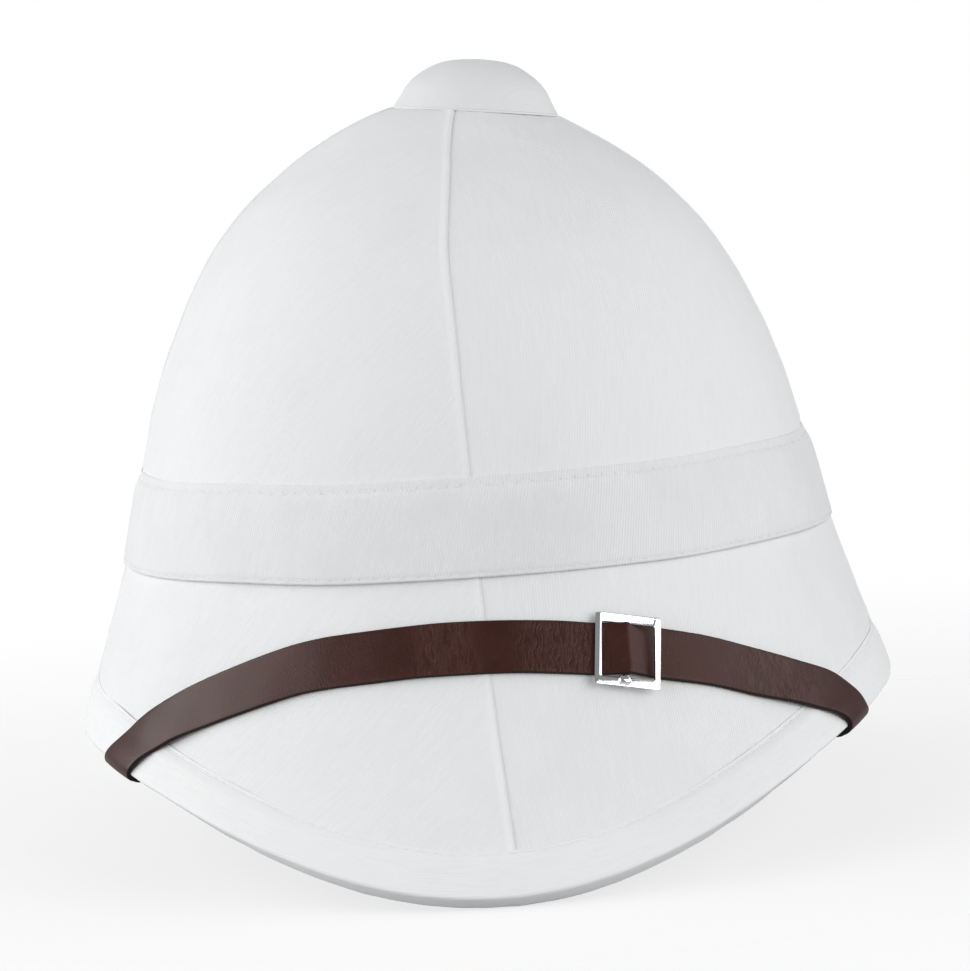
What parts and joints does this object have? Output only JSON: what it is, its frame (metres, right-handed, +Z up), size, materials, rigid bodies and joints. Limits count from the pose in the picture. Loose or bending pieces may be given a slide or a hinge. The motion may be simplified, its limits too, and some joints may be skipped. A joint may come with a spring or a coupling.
{
  "type": "pith helmet",
  "caption": "White cloth-covered pith helmet with a domed crown, drooping brim, hat band, ventilator cap and buckled leather chin strap over the peak.",
  "frame": {"origin": "on the surface the helmet stands on, below the middle of its length and width", "axes": "+Z up, -Y to the front where the peak points, +X to the viewer's right of the front"},
  "size_m": [0.2436, 0.3631, 0.2259],
  "materials": {
    "cover_cloth": "matt white cotton twill",
    "band_cloth": "matt white cotton twill",
    "binding_cloth": "matt white cotton tape",
    "cap_cloth": "matt white cotton",
    "strap_leather": "smooth dark reddish brown, dark cut edges",
    "buckle_metal": "polished nickel",
    "rivet_metal": "satin"
  },
  "bodies": {
    "root": {"helmet_shell": "cover_cloth", "hat_band": "band_cloth", "brim_binding": "binding_cloth", "ventilator_cap": "cap_cloth", "chin_strap": "strap_leather", "strap_buckle": "buckle_metal", "strap_rivet_left": "rivet_metal", "strap_rivet_right": "rivet_metal"}
  },
  "joints": []
}
